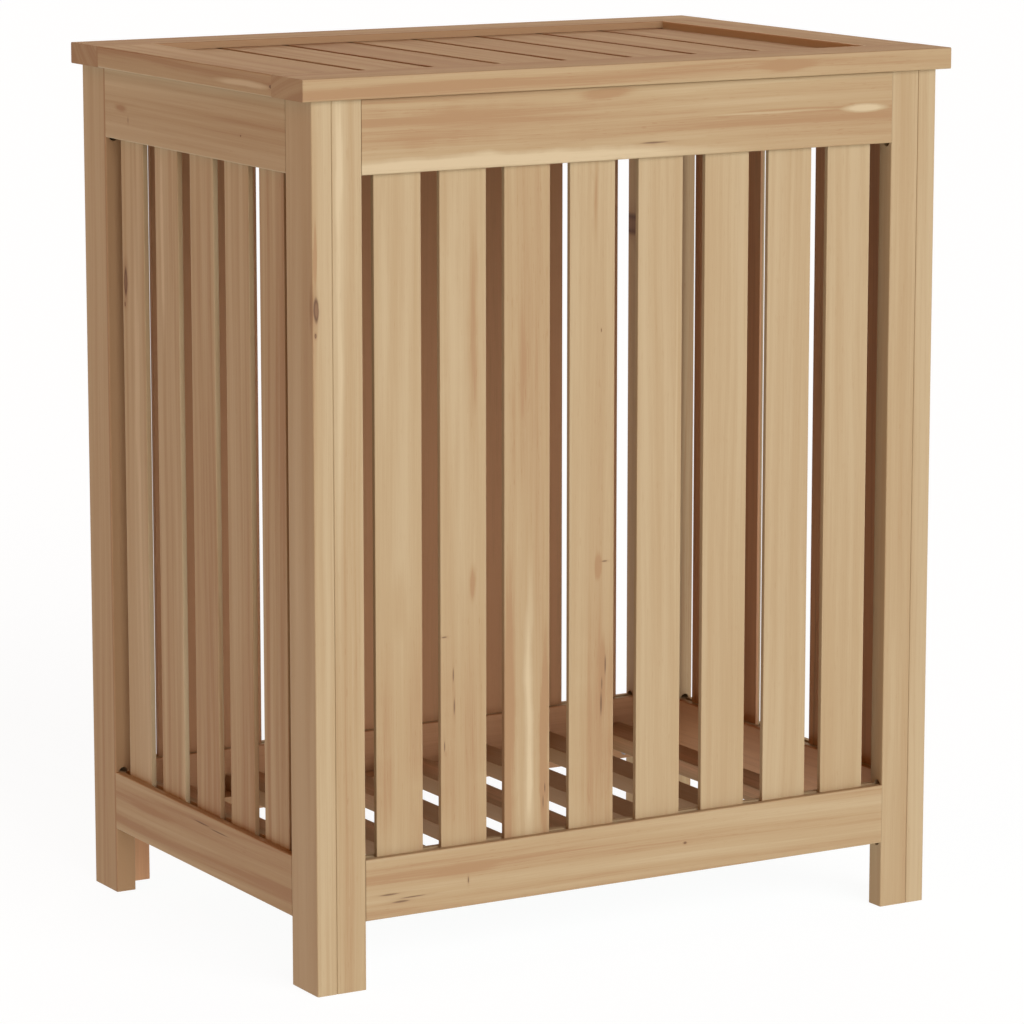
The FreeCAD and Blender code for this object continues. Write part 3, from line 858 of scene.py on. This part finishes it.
def turned(name, profile):
    """A mesh turned about Z from (radius, height) points. The first and last are on the axis."""
    corners, faces = [(0.0, 0.0, profile[0][1])], []
    for radius, height in profile[1:-1]:
        for step in range(SCREW_STEPS):
            angle = 2 * math.pi * step / SCREW_STEPS
            corners.append((radius * math.cos(angle), radius * math.sin(angle), height))
    corners.append((0.0, 0.0, profile[-1][1]))
    rings = len(profile) - 2
    for step in range(SCREW_STEPS):
        after = (step + 1) % SCREW_STEPS
        faces.append((0, 1 + step, 1 + after))
        for ring in range(rings - 1):
            top, bottom = 1 + ring * SCREW_STEPS, 1 + (ring + 1) * SCREW_STEPS
            faces.append((top + step, bottom + step, bottom + after, top + after))
        last = 1 + (rings - 1) * SCREW_STEPS
        faces.append((last + step, len(corners) - 1, last + after))
    mesh = bpy.data.meshes.new(name)
    mesh.from_pydata(corners, [], faces)
    return mesh


def cross_arm(name, along_x, head_radius, head_height):
    """One arm of the cross in a screw's head, narrower at its foot."""
    half_long, half_wide = CROSS_LENGTH * head_radius / 2, CROSS_WIDTH * head_radius / 2
    corners = []
    for height, share in ((-CROSS_DEPTH * head_height, CROSS_FOOT), (head_height, CROSS_TOP)):
        for x_side, y_side in ((-1, -1), (1, -1), (1, 1), (-1, 1)):
            x, y = x_side * half_long * share, y_side * half_wide
            corners.append((x, y, height) if along_x else (-y, x, height))
    faces = [(3, 2, 1, 0), (4, 5, 6, 7)]
    faces += [(i, (i + 1) % 4, (i + 1) % 4 + 4, i + 4) for i in range(4)]
    mesh = bpy.data.meshes.new(name)
    mesh.from_pydata(corners, [], faces)
    return bpy.data.objects.new(name, mesh)


def screw_mesh(name, sizes, length):
    """One cross-head screw in metres. Its head lies at Z 0 and its point is below."""
    head_radius, radius, head_height = (size * MM for size in sizes)
    rim = HEAD_RIM * head_radius
    profile = [(0.0, 0.0), (head_radius - rim, 0.0), (head_radius, -rim), (radius, -head_height)]
    pitch = THREAD_PITCH * MM
    height = -head_height - pitch
    while height > -length + POINT_PITCHES * pitch:
        profile += [(THREAD_ROOT * radius, height), (radius, height - pitch / 2)]
        height -= pitch
    profile += [(THREAD_ROOT * radius, height), (0.0, -length)]
    blank = bpy.data.objects.new(name, turned(name, profile))
    arms = [cross_arm(f"{name}_arm_{i}", i == 0, head_radius, head_height) for i in range(2)]
    for thing in (blank, *arms):
        bpy.context.scene.collection.objects.link(thing)
    for arm in arms:
        cut = blank.modifiers.new(arm.name, "BOOLEAN")
        cut.operation = "DIFFERENCE"
        cut.object = arm
    graph = bpy.context.evaluated_depsgraph_get()
    mesh = bpy.data.meshes.new_from_object(blank.evaluated_get(graph))
    for thing in (blank, *arms):
        bpy.data.objects.remove(thing)
    return mesh


def add_screws(name, node, body, sizes, heads, length, material):
    """Detailed screws in the places of one node's. Each of heads is the middle of a screw's head and
    the direction of its point."""
    dice = random.Random(name)
    one = screw_mesh(name + "_one", sizes, length)
    whole = bmesh.new()
    for place, direction in heads:
        turn = Matrix.Rotation(dice.uniform(0, math.pi), 4, "Z")
        aim = Vector(direction).to_track_quat("-Z", "Y").to_matrix().to_4x4()
        copy = one.copy()
        copy.transform(Matrix.Translation(place) @ aim @ turn)
        whole.from_mesh(copy)
        bpy.data.meshes.remove(copy)
    mesh = bpy.data.meshes.new(name)
    whole.to_mesh(mesh)
    whole.free()
    bpy.data.meshes.remove(one)
    mesh.materials.clear()
    mesh.materials.append(material)
    piece = bpy.data.objects.new(name, mesh)
    bpy.context.scene.collection.objects.link(piece)
    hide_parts(node)
    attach(piece, body)


def add_hinge_screws(body, node, name, head_end, direction, material):
    """The screws of one body's leaves. head_end is 0 where their heads are at the foot of the node's
    box and 1 where they are at its top. direction is -1 for points that go down."""
    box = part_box(node)
    length = box[1][Z] - box[0][Z]
    y = (box[0][Y] + box[1][Y]) / 2
    heads = []
    for left, right in spans_of(node):
        heads.append((((left + right) / 2, y, box[head_end][Z]), (0, 0, direction)))
    add_screws(name, node, body, HINGE_SCREW, heads, length, material)


def add_ledger_screws(material):
    low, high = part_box("ledger_screws")
    (front_tip, front_head), (back_head, _) = spans_of("ledger_screws", Y)
    z = (low[Z] + high[Z]) / 2
    heads = []
    for left, right in spans_of("ledger_screws"):
        x = (left + right) / 2
        heads.append(((x, front_head, z), (0, -1, 0)))
        heads.append(((x, back_head, z), (0, 1, 0)))
    length = front_head - front_tip
    add_screws("ledger_cross_screws", "ledger_screws", "body", LEDGER_SCREW, heads, length, material)


def dress_metal():
    brass = metal("brushed_brass", BRASS, TARNISH, X)
    zinc = metal("zinc_plate", ZINC, DULL_ZINC, Z)
    for side in ("left", "right"):
        for piece in ("rail_leaf", "lid_leaf", "pin"):
            dress(f"hinge_{side}_{piece}", brass)
    for node in ("hinge_rail_screws", "hinge_lid_screws", "ledger_screws"):
        dress(node, zinc)
    add_hinge_screws("body", "hinge_rail_screws", "hinge_rail_cross_screws", 1, -1, zinc)
    add_hinge_screws("lid", "hinge_lid_screws", "hinge_lid_cross_screws", 0, 1, zinc)
    add_ledger_screws(zinc)


# ---- The scene ------------------------------------------------------------------------

bpy.context.scene.view_settings.view_transform = "Standard"
add_camera()
add_world()
add_suns()
add_floor()
dress_boards()
dress_rows()
dress_dowels()
dress_metal()
